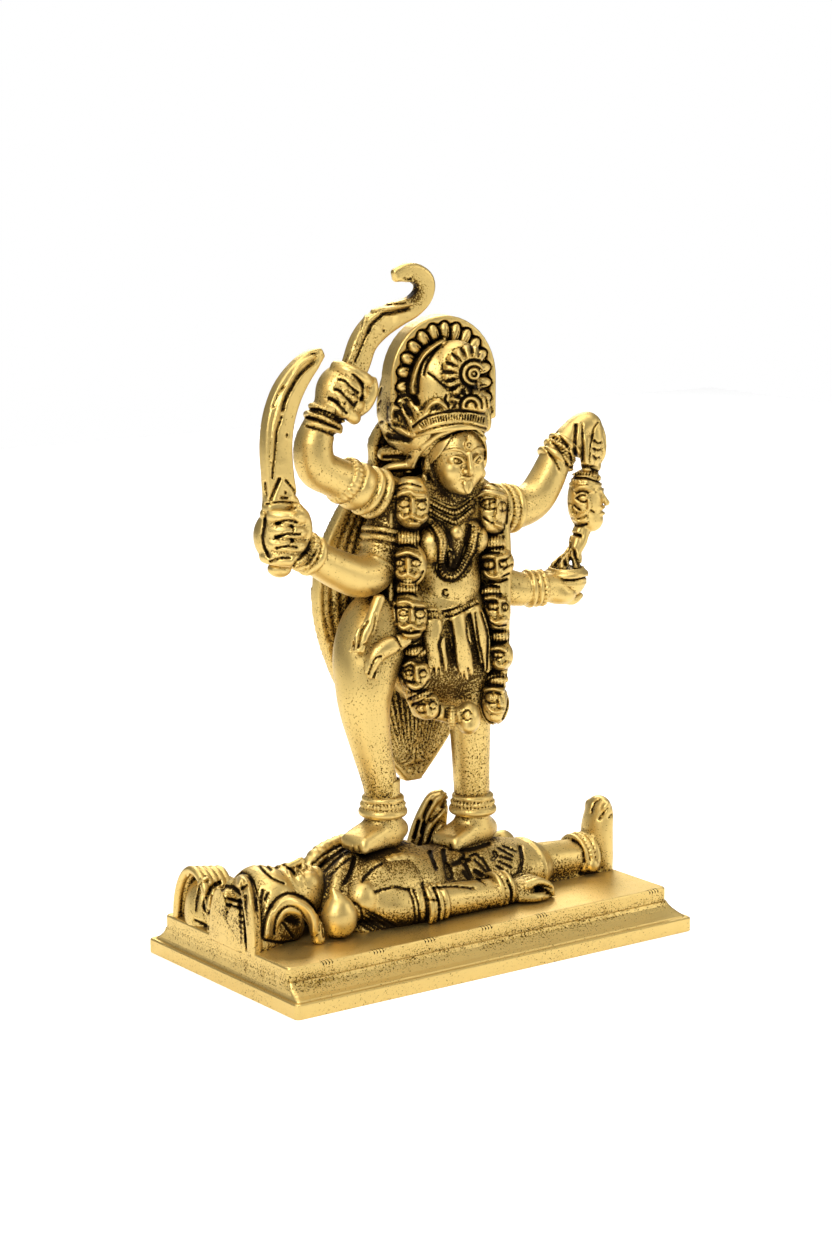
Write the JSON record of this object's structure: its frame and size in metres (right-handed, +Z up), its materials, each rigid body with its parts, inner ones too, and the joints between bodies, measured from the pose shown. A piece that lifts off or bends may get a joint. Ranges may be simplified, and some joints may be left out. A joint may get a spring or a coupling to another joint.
{
  "type": "kali figure",
  "caption": "Cast brass figure of Kali striding over a lying Shiva on a stepped plinth, made to stand on a shelf or shrine.",
  "frame": {"origin": "middle of the plinth's underside", "axes": "+Z up, +X along the plinth towards the end where the lying figure's foot stands, -Y towards the side that the standing figure faces"},
  "size_m": [0.137, 0.075, 0.192],
  "materials": {
    "cast_brass": "satin antique: brushed high points over dark brown patina in the recesses"
  },
  "bodies": {
    "root": {"kali_figure": "cast_brass", "shiva_plinth": "cast_brass"}
  },
  "joints": []
}
